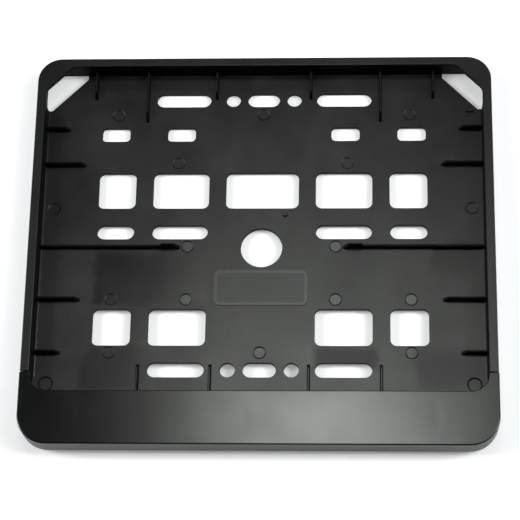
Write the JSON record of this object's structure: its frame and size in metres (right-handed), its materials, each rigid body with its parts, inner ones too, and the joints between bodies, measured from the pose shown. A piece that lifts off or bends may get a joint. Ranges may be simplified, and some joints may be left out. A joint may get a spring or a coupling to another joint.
{
  "type": "number plate holder",
  "caption": "Black plastic holder for a motorcycle number plate: a rimmed tray with a slotted floor, corner lips and ribs, and a closing strip that clips over the lower edge.",
  "frame": {"origin": "middle of the bounding box at its bottom, level with the tips of the hooks behind the floor", "axes": "+X across the plate, +Y towards the plate's top edge, +Z out of the front face"},
  "size_m": [0.2, 0.1762, 0.0152],
  "materials": {
    "tray": "fine satin moulding",
    "strip": "smooth satin gloss"
  },
  "bodies": {
    "root": {"base_tray": "tray", "closing_strip": "strip"}
  },
  "joints": []
}
